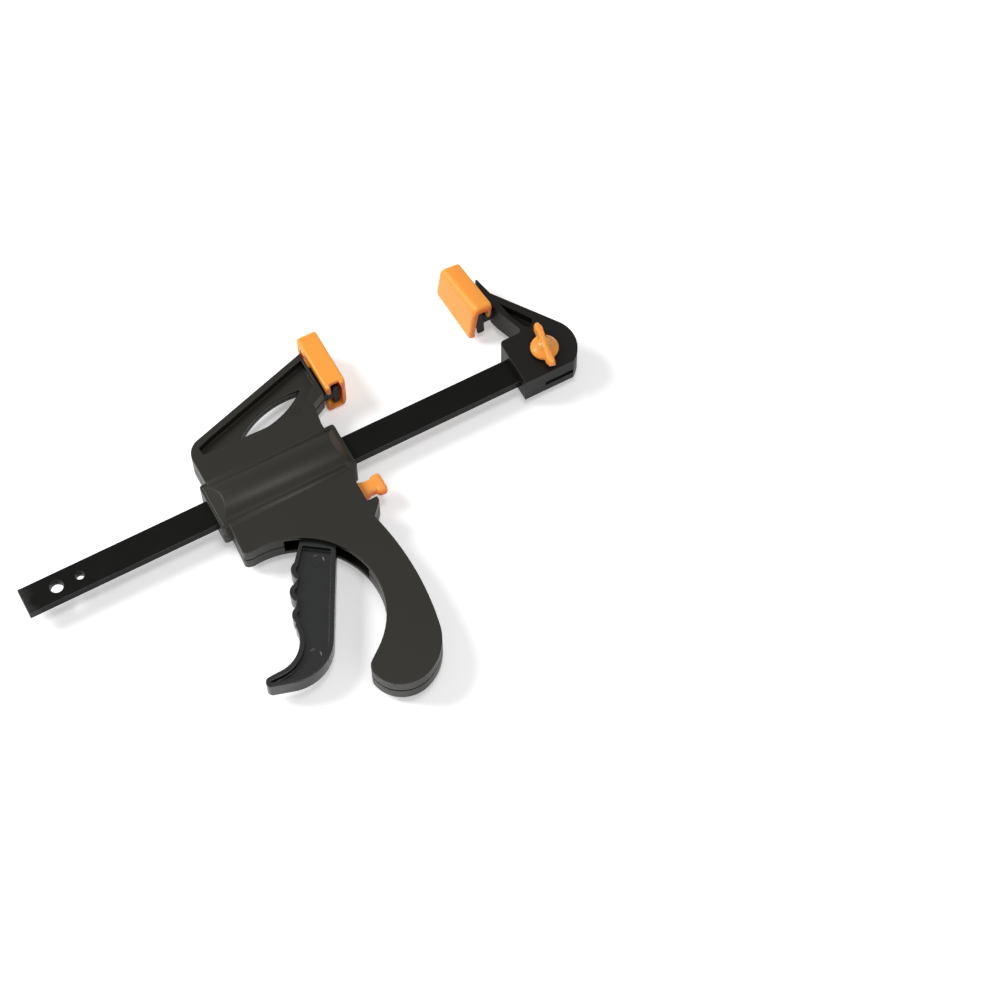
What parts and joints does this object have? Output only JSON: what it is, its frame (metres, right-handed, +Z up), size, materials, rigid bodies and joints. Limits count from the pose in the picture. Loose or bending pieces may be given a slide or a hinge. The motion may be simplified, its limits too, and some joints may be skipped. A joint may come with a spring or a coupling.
{
  "type": "quick release bar clamp",
  "caption": "One-handed trigger bar clamp: a housing with grip, trigger and rocking pad runs along a flat steel bar towards a fixed jaw held by a wing knob.",
  "frame": {"origin": "middle of the round hole at the bar's free end, on the bar's upper face", "axes": "+X along the bar towards the fixed jaw, +Y across it towards the pads, +Z up, out of the side with the knob"},
  "size_m": [0.3136, 0.2042, 0.031],
  "materials": {
    "blackened_bar": "satin black",
    "shell_plastic": "fine matte texture, dark charcoal",
    "jaw_plastic": "fine matte texture, dark charcoal",
    "trigger_plastic": "semi-gloss, dark charcoal",
    "pad_rubber": "satin soft orange",
    "button_plastic": "satin orange",
    "knob_plastic": "satin orange",
    "screw_steel": "zinc plated",
    "pin_steel": "ground",
    "plate_steel": "hardened, dark",
    "spring_steel": "drawn wire"
  },
  "bodies": {
    "bar_with_jaw": {"bar": "blackened_bar", "fixed_jaw": "jaw_plastic", "knob_washer": "screw_steel", "jaw_nut": "screw_steel"},
    "knob": {"knob": "knob_plastic", "knob_screw": "screw_steel"},
    "fixed_pad": {"fixed_pad": "pad_rubber"},
    "housing": {"housing_front": "shell_plastic", "housing_back": "shell_plastic", "shell_screws": "screw_steel", "trigger_pin": "pin_steel", "drive_spring": "spring_steel", "brake_spring": "spring_steel"},
    "movable_pad": {"movable_pad": "pad_rubber"},
    "trigger": {"trigger": "trigger_plastic"},
    "drive_plates": {"drive_plate_rear": "plate_steel", "drive_plate_front": "plate_steel"},
    "brake": {"brake_plate": "plate_steel", "release_button": "button_plastic"}
  },
  "joints": [
    {"name": "housing_slide", "type": "slide", "parent": "bar_with_jaw", "child": "housing", "axis": [1, 0, 0], "range_m": [-0.08, 0.066]},
    {"name": "knob_turn", "type": "hinge", "parent": "bar_with_jaw", "child": "knob", "pos_m": [0.2775, 0, 0.0087], "axis": [0, 0, 1], "continuous": true},
    {"name": "fixed_pad_rock", "type": "hinge", "parent": "bar_with_jaw", "child": "fixed_pad", "pos_m": [0.2588, 0.047, -0.0025], "axis": [0, 0.9962, -0.0872], "range_deg": [-17, 1]},
    {"name": "movable_pad_rock", "type": "hinge", "parent": "housing", "child": "movable_pad", "pos_m": [0.173, 0.047, -0.0025], "axis": [0, 1, 0], "range_deg": [-9, 9]},
    {"name": "trigger_squeeze", "type": "hinge", "parent": "housing", "child": "trigger", "pos_m": [0.1294, -0.025, -0.0025], "axis": [0, 0, 1], "range_deg": [0, 18], "stiffness_Nm_per_rad": 0.3, "springref_deg": -8.59},
    {"name": "drive_feed", "type": "slide", "parent": "housing", "child": "drive_plates", "axis": [1, 0, 0], "range_m": [-0.004, 0], "deforming": ["drive_spring"]},
    {"name": "brake_release", "type": "hinge", "parent": "housing", "child": "brake", "pos_m": [0.1473, 0.0125, -0.0025], "axis": [0, 0, 1], "range_deg": [-8, 0], "stiffness_Nm_per_rad": 0.3, "springref_deg": 8.59, "deforming": ["brake_spring"]}
  ],
  "couplings": [
    {"joint": "drive_feed", "follows": "trigger_squeeze", "m_per_rad": -0.012}
  ]
}
